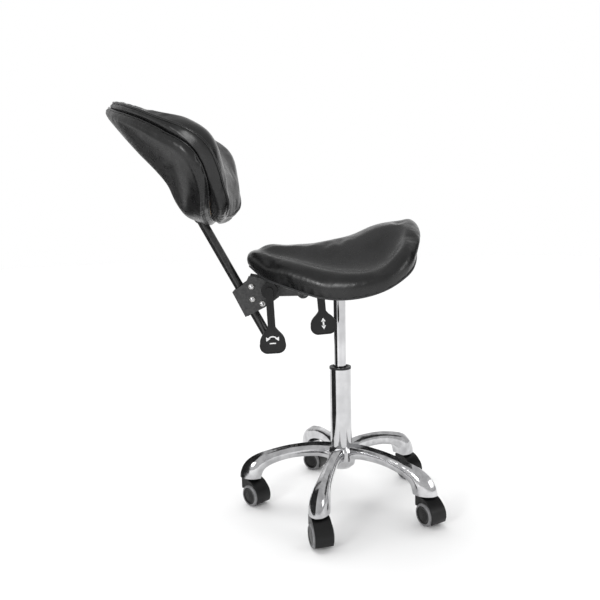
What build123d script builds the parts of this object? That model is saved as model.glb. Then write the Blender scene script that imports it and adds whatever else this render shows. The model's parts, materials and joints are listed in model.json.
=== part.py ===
"""Rolling stylist stool: saddle seat on a gas column, five-arm base on twin-wheel casters,
and a curved back pad on a post that slides and tilts behind the seat.

Millimetres. +Z is up, +X points away from the back pad, the origin is on the floor under
the column. The seat faces +X and its control levers hang on the -Y side.
"""
from build123d import *
import math
import os

os.makedirs("parts", exist_ok=True)

# ---------------------------------------------------------------- driving dimensions
ARM_COUNT = 5
FIRST_ARM_DEG = -106.6            # direction of the first arm, counted from +X
SOCKET_RADIUS = 215.0             # column axis to caster stem
TIP_BOTTOM = 64.0                 # underside of the arm tips above the floor
SOCKET_DEPTH = 34.0

SLEEVE_R = 25.0                   # outer column tube
SLEEVE_BORE_R = 22.8
SLEEVE_FOOT_R = 24.0              # the sleeve tapers to this inside the hub
SLEEVE_BOTTOM = 90.0
HUB_TOP = 133.0
HUB_BOTTOM = 83.0
SLEEVE_TOP = 320.0
COLLAR_TOP = 325.0
BUSH_LENGTH = 80.0

CYLINDER_R = 14.0                 # gas cylinder that rises with the seat
CYLINDER_BORE_R = 11.5
CYLINDER_BOTTOM = 236.0
CYLINDER_TOP = 524.0
CONE_BOTTOM = 497.0
CONE_TOP_R = 13.2
VALVE_BORE_R = 4.0
VALVE_SUNK = 15.0                 # how much of the valve button is inside the cylinder's head
VALVE_PROUD = 5.5
HEAD_THICK = 25.0
ROD_R = 5.0
RUNNING_GAP = 0.05                # radial clearance of every running fit

MECH_BOTTOM = 496.0
MECH_TOP = 549.0                  # top of the flange, where the seat pan bolts on
MECH_HALF = 31.0                  # half width over the side plates
PLATE = 3.0                       # pressed steel thickness

PIVOT_X = -158.0                  # back tilt pivot, along Y
PIVOT_Z = 511.0
PIVOT_R = 5.0
BRACKET_IN = 32.0                 # half width inside the tilt bracket
BRACKET_OUT = 35.0

POST_LEAN_DEG = 28.0              # post from vertical, leaning towards -X
POST_R = 10.75
POST_BORE_R = 8.75
POST_FOOT = Vector(-168.5, 0, 403.5)
POST_LENGTH = 352.0

PAD_LEAN_DEG = 40.0               # back pad from vertical
PAD_ORIGIN = Vector(-363, 0, 730) # on the back of the pad, over the mount
PAD_WRAP_R = 290.0                # how strongly the pad curves round the sitter
PAD_TOP = 236.0                   # along the pad, from PAD_ORIGIN
PAD_BOTTOM = -112.0
PAD_HALF = 205.0

WHEEL_R = 25.0
TREAD_THICK = 5.5
WHEEL_IN = 9.3                    # inner face of each wheel from the caster's middle
WHEEL_OUT = 23.0
TRAIL = 15.0                      # stem axis to wheel axle
HOOD_TOP = 61.0
AXLE_R = 3.0
STEM_R = 5.5

# direction that each caster trails in, counted from +X
CASTER_TRAIL_DEG = (-76.1, -60.0, -53.1, -33.5, -45.0)


def save(builder, node):
    """Label a finished piece and write it under its node name."""
    builder.part.label = node
    export_step(builder.part, f"parts/{node}.step")


def arm_angle(index):
    return FIRST_ARM_DEG + index * 360.0 / ARM_COUNT


def cross_plane(y):
    """Vertical plane facing -Y at this Y; its local axes are X and Z."""
    return Plane.XZ.offset(-y)


# ---------------------------------------------------------------- five-arm base
# Arm sections: distance of the underside from the column, its height above the floor,
# section height, half width, and lean. The lean turns the section from upright to flat
# as the arm bends down into its tip.
ARM_SECTIONS = (
    (14.0, 90.0, 50.0, 16.0, 0.0),
    (36.0, 107.0, 36.0, 14.5, 0.0),
    (70.0, 112.5, 31.0, 13.0, 1.0),
    (110.0, 110.5, 29.5, 13.0, 4.0),
    (148.0, 102.5, 30.0, 14.5, 10.0),
    (175.0, 91.5, 33.5, 17.5, 22.0),
    (185.0, 83.0, 40.0, 20.5, 45.0),
    (190.0, 72.0, 48.0, 22.5, 70.0),
    (192.0, TIP_BOTTOM, 50.0, 23.0, 90.0),
)


def arm_section(radius, under, height, half, lean):
    """Roof-shaped section of an arm: flat underside, swelling sides and a ridge on top."""
    across = Plane(
        origin=(radius, 0, under),
        x_dir=(0, 1, 0),
        z_dir=Vector(1, 0, 0).rotate(Axis.Y, lean),
    )
    crest_rise = 0.75 - lean / 200
    with BuildSketch(across) as section:
        with BuildLine():
            Line((-half * 0.78, 0), (half * 0.78, 0))
            Spline(
                (half * 0.78, 0),
                (half, height * 0.36),
                (half * 0.72, height * 0.77),
                (0, height),
                tangents=((0.5, 1), (-1, crest_rise)),
            )
            Spline(
                (0, height),
                (-half * 0.72, height * 0.77),
                (-half, height * 0.36),
                (-half * 0.78, 0),
                tangents=((-1, -crest_rise), (0.5, -1)),
            )
        make_face()
    return section.sketch


with BuildPart() as arm:
    for section_values in ARM_SECTIONS:
        add(arm_section(*section_values))
    loft()

with BuildPart() as star_base:
    with BuildSketch(Plane.XZ):
        with BuildLine():
            Polyline(
                (0, HUB_BOTTOM),
                (24.0, HUB_BOTTOM),
                (31.0, HUB_BOTTOM + 7),
                (34.0, HUB_BOTTOM + 20),
                (34.0, HUB_TOP - 8),
                (30.0, HUB_TOP),
                (0, HUB_TOP),
                close=True,
            )
        make_face()
    revolve(axis=Axis.Z)
    with PolarLocations(0, ARM_COUNT, start_angle=FIRST_ARM_DEG):
        add(arm.part)
    # tapered seat for the column sleeve, and the recess for its retaining clip below
    with BuildSketch(Plane.XZ):
        with BuildLine():
            Polyline(
                (0, SLEEVE_BOTTOM),
                (SLEEVE_FOOT_R, SLEEVE_BOTTOM),
                (SLEEVE_R, HUB_TOP),
                (SLEEVE_R, HUB_TOP + 20),
                (0, HUB_TOP + 20),
                close=True,
            )
        make_face()
    revolve(axis=Axis.Z, mode=Mode.SUBTRACT)
    with BuildSketch(Plane.XY.offset(HUB_BOTTOM - 1)):
        Circle(17.0)
    extrude(amount=SLEEVE_BOTTOM - HUB_BOTTOM + 2, mode=Mode.SUBTRACT)
    with BuildSketch(Plane.XY.offset(TIP_BOTTOM)):
        with PolarLocations(SOCKET_RADIUS, ARM_COUNT, start_angle=FIRST_ARM_DEG):
            Circle(STEM_R)
    extrude(amount=SOCKET_DEPTH, mode=Mode.SUBTRACT)
save(star_base, "star_base")

with BuildPart() as caster_stems:
    with BuildSketch(Plane.XY.offset(39)):
        with PolarLocations(SOCKET_RADIUS, ARM_COUNT, start_angle=FIRST_ARM_DEG):
            Circle(STEM_R)
    extrude(amount=TIP_BOTTOM + SOCKET_DEPTH - 39)
    with BuildSketch(Plane.XY.offset(HOOD_TOP + 0.3)):
        with PolarLocations(SOCKET_RADIUS, ARM_COUNT, start_angle=FIRST_ARM_DEG):
            Circle(8.0)
    extrude(amount=TIP_BOTTOM - HOOD_TOP - 0.3)
save(caster_stems, "caster_stems")

# ---------------------------------------------------------------- column
with BuildPart() as column_sleeve:
    with BuildSketch(Plane.XZ):
        with BuildLine():
            Polyline(
                (ROD_R + 1.0, SLEEVE_BOTTOM),
                (SLEEVE_FOOT_R, SLEEVE_BOTTOM),
                (SLEEVE_R, HUB_TOP),
                (SLEEVE_R, SLEEVE_TOP),
                (SLEEVE_BORE_R, SLEEVE_TOP),
                (SLEEVE_BORE_R, HUB_TOP),
                (SLEEVE_BORE_R - 1.0, SLEEVE_BOTTOM + 3),
                (ROD_R + 1.0, SLEEVE_BOTTOM + 3),
                close=True,
            )
        make_face()
    revolve(axis=Axis.Z)
save(column_sleeve, "column_sleeve")

with BuildPart() as guide_collar:
    with BuildSketch(Plane.XZ):
        with BuildLine():
            Polyline(
                (CYLINDER_R + RUNNING_GAP, SLEEVE_TOP - BUSH_LENGTH),
                (SLEEVE_BORE_R, SLEEVE_TOP - BUSH_LENGTH),
                (SLEEVE_BORE_R, SLEEVE_TOP),
                (SLEEVE_R + 0.4, SLEEVE_TOP),
                (SLEEVE_R + 0.4, COLLAR_TOP - 0.6),
                (SLEEVE_R - 0.2, COLLAR_TOP),
                (CYLINDER_R + 5.0, COLLAR_TOP),
                (CYLINDER_R + 3.0, COLLAR_TOP - 2.5),
                (CYLINDER_R + RUNNING_GAP, COLLAR_TOP - 2.5),
                close=True,
            )
        make_face()
    revolve(axis=Axis.Z)
save(guide_collar, "guide_collar")

with BuildPart() as thrust_bearing:
    with BuildSketch(Plane.XY.offset(SLEEVE_BOTTOM + 3)):
        Circle(14.0)
        Circle(ROD_R + 1.0, mode=Mode.SUBTRACT)
    extrude(amount=2)
    with BuildSketch(Plane.XY.offset(SLEEVE_BOTTOM + 5)):
        Circle(12.5)
        Circle(ROD_R + 2.5, mode=Mode.SUBTRACT)
    extrude(amount=3)
save(thrust_bearing, "thrust_bearing")

# The rod turns in the bearing: a washer on it bears on the race, a clip holds it from below.
with BuildPart() as piston_rod:
    with BuildSketch(Plane.XY.offset(HUB_BOTTOM + 1)):
        Circle(ROD_R)
    extrude(amount=CYLINDER_BOTTOM + 12 - HUB_BOTTOM - 1)
    with BuildSketch(Plane.XY.offset(SLEEVE_BOTTOM + 8.3)):
        Circle(13.0)
    extrude(amount=2.2)
    with BuildSketch(Plane.XY.offset(CYLINDER_BOTTOM + 12)):
        Circle(CYLINDER_BORE_R - 0.3)
    extrude(amount=12)
save(piston_rod, "piston_rod")

with BuildPart() as retaining_clip:
    with BuildSketch(Plane.XY.offset(SLEEVE_BOTTOM - 2.8)):
        Circle(12.0)
        Circle(ROD_R, mode=Mode.SUBTRACT)
        with Locations((0, -9)):
            Rectangle(5, 10, mode=Mode.SUBTRACT)
    extrude(amount=2.5)
save(retaining_clip, "retaining_clip")

with BuildPart() as gas_cylinder:
    with BuildSketch(Plane.XZ):
        with BuildLine():
            Polyline(
                (ROD_R + RUNNING_GAP, CYLINDER_BOTTOM),
                (CYLINDER_R - 1.0, CYLINDER_BOTTOM),
                (CYLINDER_R, CYLINDER_BOTTOM + 1),
                (CYLINDER_R, CONE_BOTTOM),
                (CONE_TOP_R, CYLINDER_TOP),
                (VALVE_BORE_R, CYLINDER_TOP),
                (VALVE_BORE_R, CYLINDER_TOP - HEAD_THICK),
                (CYLINDER_BORE_R, CYLINDER_TOP - HEAD_THICK),
                (CYLINDER_BORE_R, CYLINDER_BOTTOM + 11),
                (ROD_R + RUNNING_GAP, CYLINDER_BOTTOM + 11),
                close=True,
            )
        make_face()
    revolve(axis=Axis.Z)
save(gas_cylinder, "gas_cylinder")

with BuildPart() as valve_button:
    with BuildSketch(Plane.XY.offset(CYLINDER_TOP - VALVE_SUNK)):
        Circle(VALVE_BORE_R - RUNNING_GAP)
    extrude(amount=VALVE_SUNK + VALVE_PROUD)
    fillet(valve_button.edges().group_by(Axis.Z)[-1], 1.0)
save(valve_button, "valve_button")

# ---------------------------------------------------------------- seat mechanism
FLANGE_HALF_Y = 72.0
FLANGE_BACK = -92.0
FLANGE_FRONT = 78.0
SEAT_BOLT_SPAN_X = 130.0
SEAT_BOLT_SPAN_Y = 116.0
FLANGE_MID_X = (FLANGE_BACK + FLANGE_FRONT) / 2
CROSS_TUBE_X = -83.0
CROSS_TUBE_Z = 504.0
CROSS_TUBE_R = 14.0
SHAFT_X = -47.5                   # height lever shaft, along Y
SHAFT_Z = 528.0
SHAFT_R = 4.0
HOUSING_FRONT = 62.0

with BuildPart() as mechanism_housing:
    for side in (-1, 1):
        with BuildSketch(cross_plane(side * MECH_HALF - PLATE / 2 * (side - 1))):
            with BuildLine():
                Polyline(
                    (PIVOT_X, PIVOT_Z + 15),
                    (-118.0, MECH_TOP - 14),
                    (-100.0, MECH_TOP - 2),
                    (HOUSING_FRONT, MECH_TOP - 2),
                    (HOUSING_FRONT, MECH_BOTTOM + 12),
                    (HOUSING_FRONT - 12, MECH_BOTTOM),
                    (PIVOT_X, MECH_BOTTOM),
                )
                ThreePointArc((PIVOT_X, MECH_BOTTOM), (PIVOT_X - 15, PIVOT_Z), (PIVOT_X, PIVOT_Z + 15))
            make_face()
            with Locations((PIVOT_X, PIVOT_Z)):
                Circle(PIVOT_R + RUNNING_GAP, mode=Mode.SUBTRACT)
            with Locations((CROSS_TUBE_X, CROSS_TUBE_Z)):
                Circle(CROSS_TUBE_R, mode=Mode.SUBTRACT)
            with Locations((SHAFT_X, SHAFT_Z)):
                Circle(SHAFT_R + RUNNING_GAP, mode=Mode.SUBTRACT)
        extrude(amount=PLATE)
    # floor of the channel, open round the cross tube
    with BuildSketch(Plane.XY.offset(MECH_BOTTOM)):
        with Locations(((CROSS_TUBE_X + CROSS_TUBE_R + HOUSING_FRONT - 12) / 2, 0)):
            Rectangle(HOUSING_FRONT - 12 - CROSS_TUBE_X - CROSS_TUBE_R, 2 * MECH_HALF)
        Circle(CYLINDER_R + 2, mode=Mode.SUBTRACT)
    extrude(amount=PLATE)
    with BuildSketch(Plane.XY.offset(MECH_BOTTOM)):
        with Locations(((-138.0 + CROSS_TUBE_X - CROSS_TUBE_R) / 2, 0)):
            Rectangle(CROSS_TUBE_X - CROSS_TUBE_R + 138.0, 2 * MECH_HALF)
    extrude(amount=PLATE)
    # cone that takes the gas cylinder's taper
    with BuildSketch(Plane.XZ):
        with BuildLine():
            Polyline(
                (CYLINDER_R, CONE_BOTTOM),
                (22.0, CONE_BOTTOM),
                (19.0, CYLINDER_TOP),
                (CONE_TOP_R, CYLINDER_TOP),
                close=True,
            )
        make_face()
    revolve(axis=Axis.Z)
    # mounting flange with its two open windows and four bolt holes
    with BuildSketch(Plane.XY.offset(MECH_TOP - 4)):
        with Locations((FLANGE_MID_X, 0)):
            RectangleRounded(FLANGE_FRONT - FLANGE_BACK, 2 * FLANGE_HALF_Y, 12)
            RectangleRounded(96.0, 2 * (MECH_HALF - PLATE) - 4, 6, mode=Mode.SUBTRACT)
            with GridLocations(SEAT_BOLT_SPAN_X, SEAT_BOLT_SPAN_Y, 2, 2):
                Circle(3.2, mode=Mode.SUBTRACT)
    extrude(amount=4)
save(mechanism_housing, "mechanism_housing")

with BuildPart() as cross_tube:
    with BuildSketch(cross_plane(MECH_HALF + 3)):
        with Locations((CROSS_TUBE_X, CROSS_TUBE_Z)):
            Circle(CROSS_TUBE_R)
            Circle(CROSS_TUBE_R - 3, mode=Mode.SUBTRACT)
    extrude(amount=2 * MECH_HALF + 6)
save(cross_tube, "cross_tube")

with BuildPart() as seat_bolts:
    with BuildSketch(Plane.XY.offset(MECH_TOP - 9)):
        with Locations((FLANGE_MID_X, 0)):
            with GridLocations(SEAT_BOLT_SPAN_X, SEAT_BOLT_SPAN_Y, 2, 2):
                RegularPolygon(6.5, 6)
    extrude(amount=5)
    with BuildSketch(Plane.XY.offset(MECH_TOP - 4)):
        with Locations((FLANGE_MID_X, 0)):
            with GridLocations(SEAT_BOLT_SPAN_X, SEAT_BOLT_SPAN_Y, 2, 2):
                Circle(3.0)
    extrude(amount=9)
save(seat_bolts, "seat_bolts")

# ---------------------------------------------------------------- saddle seat
# Stations along the seat: X, half width, ridge height, rim underside, height of the side roll
# over the rim, how far out its crest is, and the height of the pan's underside in the middle.
SEAT_STATIONS = (
    (-207.0, 30.0, 592.0, 566.0, 24.0, 0.50, 563.0),
    (-190.0, 58.0, 604.0, 554.0, 42.0, 0.54, 560.0),
    (-160.0, 86.0, 615.0, 538.0, 52.0, 0.58, 556.0),
    (-100.0, 124.0, 615.0, 519.0, 57.0, 0.66, MECH_TOP),
    (-40.0, 154.0, 617.0, 504.0, 57.0, 0.73, MECH_TOP),
    (20.0, 176.0, 628.0, 505.0, 49.0, 0.84, MECH_TOP),
    (80.0, 184.0, 652.0, 521.0, 45.0, 0.86, MECH_TOP),
    (128.0, 166.0, 664.0, 548.0, 62.0, 0.72, 578.0),
    (153.0, 132.0, 664.0, 570.0, 64.0, 0.60, 598.0),
    (169.0, 80.0, 642.0, 588.0, 40.0, 0.60, 607.0),
)
WIDEST_PART = 0.36                # height of the widest line, as a part of the side roll
PAN_THICK = 8.0
PAN_INSET = 12.0
PAN_FLAT_HALF = 76.0
PAN_GAP = 0.6


def pan_middle(half):
    """Half width of the pan's flat middle where the seat is this wide."""
    return min(PAN_FLAT_HALF, (half - PAN_INSET) * 0.7)


PAN_STATIONS = SEAT_STATIONS[1:-1]  # the cushion overhangs the pan at both ends

with BuildPart() as seat_pan:
    for x, half, _, rim, _, _, middle in PAN_STATIONS:
        edge = half - PAN_INSET
        flat = pan_middle(half)
        with BuildSketch(Plane.YZ.offset(x)):
            Polygon(
                (-edge, rim),
                (-flat, middle),
                (flat, middle),
                (edge, rim),
                (edge, rim + PAN_THICK),
                (flat, middle + PAN_THICK),
                (-flat, middle + PAN_THICK),
                (-edge, rim + PAN_THICK),
                align=None,
            )
    loft(ruled=True)
    with BuildSketch(Plane.XY.offset(MECH_TOP)):
        with Locations((FLANGE_MID_X, 0)):
            with GridLocations(SEAT_BOLT_SPAN_X, SEAT_BOLT_SPAN_Y, 2, 2):
                Circle(3.1)
    extrude(amount=5.5, mode=Mode.SUBTRACT)
save(seat_pan, "seat_pan")

with BuildPart() as seat_cushion:
    for x, half, ridge, rim, roll, crest, middle in SEAT_STATIONS:
        edge = half - PAN_INSET + PAN_GAP
        flat = pan_middle(half)
        lift = PAN_THICK + PAN_GAP
        top = rim + roll
        widest = rim + roll * WIDEST_PART
        with BuildSketch(Plane.YZ.offset(x)):
            with BuildLine():
                Spline(
                    (half, widest),
                    (half * (0.3 * crest + 0.7), widest + 0.72 * (top - widest)),
                    (half * crest, top + 0.04 * (ridge - top)),
                    (half * crest / 2, (ridge + top) / 2),
                    (0, ridge),
                    (-half * crest / 2, (ridge + top) / 2),
                    (-half * crest, top + 0.04 * (ridge - top)),
                    (-half * (0.3 * crest + 0.7), widest + 0.72 * (top - widest)),
                    (-half, widest),
                )
                Polyline(
                    (-half, widest),
                    (-half + 4, rim),
                    (-edge, rim),
                    (-edge, rim + lift),
                    (-flat, middle + lift),
                    (flat, middle + lift),
                    (edge, rim + lift),
                    (edge, rim),
                    (half - 4, rim),
                    (half, widest),
                )
            make_face()
    loft(ruled=True)
save(seat_cushion, "seat_cushion")

# ---------------------------------------------------------------- levers
LEVER_NECK_HALF = 8.5
LEVER_THICK = 8.0
PADDLE_RIM = 2.6
PADDLE_RECESS = 1.2


def paddle_outline(neck, length, half, inset=0.0):
    """Outline of a lever's paddle below its neck, with the shaft at the sketch's origin."""
    side = half - inset
    top = -neck - inset * 3
    waist = -neck - length * 0.60
    foot = -neck - length + inset
    start = LEVER_NECK_HALF - inset * 0.6
    with BuildSketch() as outline:
        with BuildLine():
            for hand in (-1, 1):
                Spline(
                    (hand * start, top),
                    (hand * side * 0.76, -neck - length * 0.28),
                    (hand * side, waist),
                    tangents=((hand * 0.5, -1), (0, -1)),
                )
                ThreePointArc(
                    (hand * side, waist),
                    (hand * (side - 4.5), foot + 5.0),
                    (hand * (side - 16), foot),
                )
            Line((start, top), (-start, top))
            Line((side - 16, foot), (16 - side, foot))
        make_face()
    return outline.sketch


def lever_plane(x, y, z, lean_deg):
    """Plane of a hanging lever: local Y points from its paddle up to its shaft."""
    lean = math.radians(lean_deg)
    return Plane(origin=(x, y, z), x_dir=(math.cos(lean), 0, math.sin(lean)), z_dir=(0, -1, 0))


HEIGHT_LEVER_Y = -80.0            # inner face of the paddle
HEIGHT_NECK = 59.0
HEIGHT_PADDLE = 52.0
HEIGHT_HALF = 28.0
HEIGHT_LEAN = 4.4

with BuildPart() as height_lever_shaft:
    with BuildSketch(cross_plane(HEIGHT_LEVER_Y - 5)):
        with Locations((SHAFT_X, SHAFT_Z)):
            Circle(SHAFT_R)
    extrude(amount=HEIGHT_LEVER_Y - 5 - MECH_HALF - 3)
    with BuildSketch(cross_plane(-6)):
        with Locations((SHAFT_X, SHAFT_Z)):
            Circle(8.0)
        with Locations(((SHAFT_X + 5) / 2, CYLINDER_TOP + 8.1)):
            Rectangle(5 - SHAFT_X, 4.0)
    extrude(amount=-12)
save(height_lever_shaft, "height_lever_shaft")

height_frame = lever_plane(SHAFT_X, HEIGHT_LEVER_Y, SHAFT_Z, HEIGHT_LEAN)
with BuildPart() as height_lever_paddle:
    with BuildSketch(height_frame):
        add(paddle_outline(HEIGHT_NECK, HEIGHT_PADDLE, HEIGHT_HALF))
        with Locations((0, -HEIGHT_NECK / 2)):
            Rectangle(2 * LEVER_NECK_HALF, HEIGHT_NECK)
        Circle(LEVER_NECK_HALF)
    extrude(amount=LEVER_THICK)
    with BuildSketch(height_frame.offset(LEVER_THICK)):
        add(paddle_outline(HEIGHT_NECK, HEIGHT_PADDLE, HEIGHT_HALF, PADDLE_RIM))
    extrude(amount=-PADDLE_RECESS, mode=Mode.SUBTRACT)
    with BuildSketch(height_frame):
        Circle(SHAFT_R)
    extrude(amount=5, mode=Mode.SUBTRACT)
save(height_lever_paddle, "height_lever_paddle")

TILT_LEVER_Y = -53.0
TILT_NECK = 80.0
TILT_PADDLE = 60.0
TILT_HALF = 28.5
TILT_LEAN = 2.4
TILT_BOSS_RINGS = ((18.0, BRACKET_OUT + 1.5), (15.5, 43.0), (12.5, 48.0))

tilt_frame = lever_plane(PIVOT_X, TILT_LEVER_Y, PIVOT_Z, TILT_LEAN)
with BuildPart() as tilt_lever:
    for ring_r, ring_start in TILT_BOSS_RINGS:
        with BuildSketch(cross_plane(-ring_start)):
            with Locations((PIVOT_X, PIVOT_Z)):
                Circle(ring_r)
        extrude(amount=-TILT_LEVER_Y - ring_start)
    with BuildSketch(tilt_frame):
        add(paddle_outline(TILT_NECK, TILT_PADDLE, TILT_HALF))
        with Locations((0, -TILT_NECK / 2)):
            Rectangle(2 * LEVER_NECK_HALF, TILT_NECK)
        Circle(LEVER_NECK_HALF)
    extrude(amount=LEVER_THICK)
    with BuildSketch(tilt_frame.offset(LEVER_THICK)):
        add(paddle_outline(TILT_NECK, TILT_PADDLE, TILT_HALF, PADDLE_RIM))
    extrude(amount=-PADDLE_RECESS, mode=Mode.SUBTRACT)
    # ribs down the middle of the neck
    with BuildSketch(tilt_frame.offset(LEVER_THICK)):
        with Locations((0, -12 - TILT_NECK / 2)):
            with GridLocations(0, 4.4, 1, 14):
                Rectangle(3.4, 2.2)
    extrude(amount=1.2)
    with BuildSketch(cross_plane(0)):
        with Locations((PIVOT_X, PIVOT_Z)):
            Circle(PIVOT_R + RUNNING_GAP)
    extrude(amount=52, mode=Mode.SUBTRACT)
save(tilt_lever, "tilt_lever")

# ---------------------------------------------------------------- back tilt bracket
BRACKET_OUTLINE = (
    (-242.0, 508.0),
    (-214.0, 451.0),
    (-170.0, 472.0),
    (-137.0, 495.0),
    (-137.0, 522.0),
    (-165.0, 532.0),
    (-180.0, 538.5),
    (-204.0, 543.5),
    (-211.0, 529.0),
)
BRACKET_BOLTS = ((-199.0, 520.0), (-197.0, 491.5), (-175.0, 481.0))
BRACKET_BOLT_R = 4.0
WEB_LENGTH = 63.0
post_dir = Vector(-math.sin(math.radians(POST_LEAN_DEG)), 0, math.cos(math.radians(POST_LEAN_DEG)))
post_side = Vector(post_dir.Z, 0, -post_dir.X)      # square to the post, towards +X
GUIDE_START = 62.0                # along the post, from its foot
GUIDE_LENGTH = 56.0
GUIDE_BACK = -13.0
GUIDE_FRONT = 13.4


def post_plane(distance):
    """Plane square to the post at this distance up from its foot."""
    return Plane(origin=POST_FOOT + post_dir * distance, x_dir=(0, -1, 0), z_dir=post_dir)


with BuildPart() as tilt_bracket:
    for side in (-1, 1):
        with BuildSketch(cross_plane(side * BRACKET_IN + PLATE / 2 * (side + 1))):
            Polygon(*BRACKET_OUTLINE, align=None)
            with Locations((PIVOT_X, PIVOT_Z)):
                Circle(PIVOT_R, mode=Mode.SUBTRACT)
            with Locations(*BRACKET_BOLTS):
                Circle(BRACKET_BOLT_R, mode=Mode.SUBTRACT)
        extrude(amount=PLATE)
    # web that closes the channel behind the post
    with BuildSketch(Plane(origin=(-242.0, 0, 508.0), x_dir=(0, 1, 0), z_dir=post_side)):
        with Locations((0, -WEB_LENGTH / 2)):
            Rectangle(2 * BRACKET_OUT, WEB_LENGTH)
    extrude(amount=2.6)
save(tilt_bracket, "tilt_bracket")

with BuildPart() as bracket_bolts:
    for side in (-1, 1):
        with BuildSketch(cross_plane(side * BRACKET_OUT)):
            with Locations(*BRACKET_BOLTS):
                Circle(7.0)
        extrude(amount=-side * 1.5)
        with BuildSketch(cross_plane(side * (BRACKET_OUT + 1.5))):
            with Locations(*BRACKET_BOLTS):
                RegularPolygon(6.2, 6)
        extrude(amount=-side * 4.5)
    with BuildSketch(cross_plane(BRACKET_OUT)):
        with Locations(*BRACKET_BOLTS):
            Circle(BRACKET_BOLT_R)
    extrude(amount=2 * BRACKET_OUT)
save(bracket_bolts, "bracket_bolts")

with BuildPart() as friction_discs:
    for start in (-MECH_HALF - RUNNING_GAP, MECH_HALF + 1 - RUNNING_GAP):
        with BuildSketch(cross_plane(start)):
            with Locations((PIVOT_X, PIVOT_Z)):
                Circle(13.0)
                Circle(PIVOT_R, mode=Mode.SUBTRACT)
        extrude(amount=1 - 2 * RUNNING_GAP)
save(friction_discs, "friction_discs")

with BuildPart() as pivot_bolt:
    with BuildSketch(cross_plane(BRACKET_OUT)):
        with Locations((PIVOT_X, PIVOT_Z)):
            Circle(PIVOT_R)
    extrude(amount=BRACKET_OUT + 51)
    with BuildSketch(cross_plane(BRACKET_OUT + 6)):
        with Locations((PIVOT_X, PIVOT_Z)):
            RegularPolygon(9.0, 6)
    extrude(amount=6)
save(pivot_bolt, "pivot_bolt")

with BuildPart() as pivot_spacer:
    with BuildSketch(cross_plane(MECH_HALF - PLATE)):
        with Locations((PIVOT_X, PIVOT_Z)):
            Circle(8.0)
            Circle(PIVOT_R + RUNNING_GAP, mode=Mode.SUBTRACT)
    extrude(amount=2 * (MECH_HALF - PLATE))
save(pivot_spacer, "pivot_spacer")

with BuildPart() as post_guide:
    with BuildSketch(post_plane(GUIDE_START)):
        with Locations((0, (GUIDE_BACK + GUIDE_FRONT) / 2)):
            RectangleRounded(2 * BRACKET_IN - 0.4, GUIDE_FRONT - GUIDE_BACK, 2)
        Circle(POST_R + RUNNING_GAP, mode=Mode.SUBTRACT)
    extrude(amount=GUIDE_LENGTH)
    with BuildSketch(cross_plane(BRACKET_IN)):
        with Locations(*BRACKET_BOLTS):
            Circle(BRACKET_BOLT_R + 0.1)
    extrude(amount=2 * BRACKET_IN, mode=Mode.SUBTRACT)
save(post_guide, "post_guide")

# ---------------------------------------------------------------- back post
with BuildPart() as back_post:
    with BuildSketch(post_plane(0)):
        Circle(POST_R)
        Circle(POST_BORE_R, mode=Mode.SUBTRACT)
    extrude(amount=POST_LENGTH)
save(back_post, "back_post")

with BuildPart() as post_end_cap:
    with BuildSketch(post_plane(0)):
        Circle(POST_R + 0.6)
    extrude(amount=-7)
    fillet(post_end_cap.faces().sort_by(Axis(POST_FOOT, post_dir))[0].edges(), 1.5)
    with BuildSketch(post_plane(0)):
        Circle(POST_BORE_R)
    extrude(amount=12)
save(post_end_cap, "post_end_cap")

# ---------------------------------------------------------------- back pad
lean = math.radians(PAD_LEAN_DEG)
pad_up = Vector(-math.sin(lean), 0, math.cos(lean))
pad_out = Vector(math.cos(lean), 0, math.sin(lean))
COVER_BACK = -12.0
COVER_FRONT = 25.5
BOARD_BACK = 26.0
BOARD_FRONT = 34.0
CUSHION_BACK = 34.4
# the cushion rises from its rim in steps: inset from the outline, depth of the step's front
CUSHION_STEPS = ((0.0, 52.0), (16.0, 68.0), (32.0, 82.0), (54.0, 95.0))
# half outlines: distance from the middle, distance up the pad
COVER_OUTLINE = (
    (0, PAD_TOP),
    (74, 206),
    (119, 172),
    (153, 133),
    (184, 76),
    (203, 20),
    (191, -36),
    (153, -69),
    (62, -98),
    (0, -104),
)
CUSHION_OUTLINE = (
    (0, PAD_TOP),
    (79, 212),
    (138, 167),
    (185, 95),
    (203, 30),
    (200, -15),
    (163, -78),
    (134, -107),
    (80, -120),
    (0, -120),
)


def wrap(y):
    """How far the pad has curved forward at this distance from its middle."""
    return PAD_WRAP_R - math.sqrt(PAD_WRAP_R**2 - y**2)


def pad_outline(half_points, inset=0.0):
    """The pad seen from the front, as a face on the pad's own plane."""
    half = [(y - inset * y / PAD_HALF, s * (1 - inset / PAD_TOP)) for y, s in half_points]
    other = [(-y, s) for y, s in reversed(half)][1:-1]
    with BuildSketch(Plane(origin=PAD_ORIGIN - pad_out * 60, x_dir=(0, 1, 0), z_dir=pad_out)) as face:
        with BuildLine():
            Spline(*half, *other, periodic=True)
        make_face()
    return face.sketch


def pad_layer(back, front):
    """Curved band between two depths of the pad, as a face square to the pad's length."""
    reach = PAD_HALF + 8
    curve = wrap(reach)
    with BuildSketch(
        Plane(origin=PAD_ORIGIN + pad_up * (PAD_BOTTOM - 30), x_dir=(0, -1, 0), z_dir=pad_up)
    ) as band:
        with BuildLine():
            ThreePointArc((-reach, back + curve), (0, back), (reach, back + curve))
            Line((reach, back + curve), (reach, front + curve))
            ThreePointArc((reach, front + curve), (0, front), (-reach, front + curve))
            Line((-reach, front + curve), (-reach, back + curve))
        make_face()
    return band.sketch


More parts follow.
